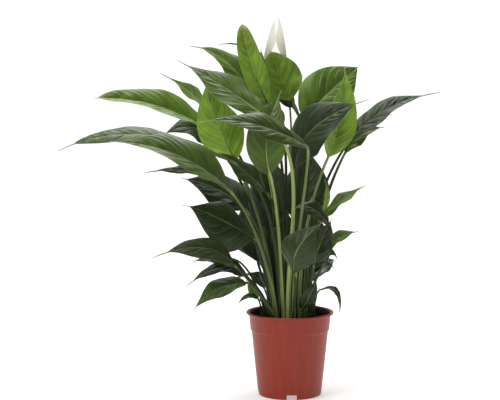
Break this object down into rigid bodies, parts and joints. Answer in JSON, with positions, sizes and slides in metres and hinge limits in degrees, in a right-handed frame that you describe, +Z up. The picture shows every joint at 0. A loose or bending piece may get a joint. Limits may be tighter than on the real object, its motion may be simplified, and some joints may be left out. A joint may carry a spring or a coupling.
{
  "type": "potted peace lily",
  "caption": "Peace lily in a round terracotta-red nursery pot: arching pointed leaves on long stalks, white flower hoods above them, dark soil.",
  "frame": {"origin": "middle of the pot's foot, on the surface that it stands on", "axes": "+Z up along the pot's axis; -Y is the front, and the long leaves reach towards -X"},
  "size_m": [0.7439, 0.4801, 0.7605],
  "materials": {
    "pot_plastic": "satin",
    "peat": "matte",
    "leaf": "satin",
    "flower_stalk": "satin",
    "spathe": "satin",
    "spadix": "matte"
  },
  "bodies": {
    "root": {"flower_left_spadix": "spadix", "flower_left_spathe": "spathe", "flower_left_stalk": "flower_stalk", "flower_right_spadix": "spadix", "flower_right_spathe": "spathe", "flower_right_stalk": "flower_stalk", "leaf_back_1": "leaf", "leaf_back_10": "leaf", "leaf_back_2": "leaf", "leaf_back_3": "leaf", "leaf_back_4": "leaf", "leaf_back_5": "leaf", "leaf_back_6": "leaf", "leaf_back_7": "leaf", "leaf_back_8": "leaf", "leaf_back_9": "leaf", "leaf_front_1": "leaf", "leaf_front_2": "leaf", "leaf_front_3": "leaf", "leaf_front_4": "leaf", "leaf_front_5": "leaf", "leaf_front_6": "leaf", "leaf_left_1": "leaf", "leaf_left_2": "leaf", "leaf_left_3": "leaf", "leaf_left_4": "leaf", "leaf_left_5": "leaf", "leaf_left_6": "leaf", "leaf_left_7": "leaf", "leaf_low_1": "leaf", "leaf_low_10": "leaf", "leaf_low_11": "leaf", "leaf_low_12": "leaf", "leaf_low_2": "leaf", "leaf_low_3": "leaf", "leaf_low_4": "leaf", "leaf_low_5": "leaf", "leaf_low_6": "leaf", "leaf_low_7": "leaf", "leaf_low_8": "leaf", "leaf_low_9": "leaf", "leaf_right_1": "leaf", "leaf_right_2": "leaf", "leaf_right_3": "leaf", "leaf_right_4": "leaf", "leaf_right_5": "leaf", "leaf_right_6": "leaf", "leaf_right_7": "leaf", "leaf_right_8": "leaf", "leaf_right_9": "leaf", "leaf_top_1": "leaf", "leaf_top_2": "leaf", "leaf_top_3": "leaf", "leaf_top_4": "leaf", "leaf_top_5": "leaf", "leaf_top_6": "leaf", "leaf_top_7": "leaf", "leaf_top_8": "leaf", "pot": "pot_plastic", "soil": "peat"}
  },
  "joints": []
}
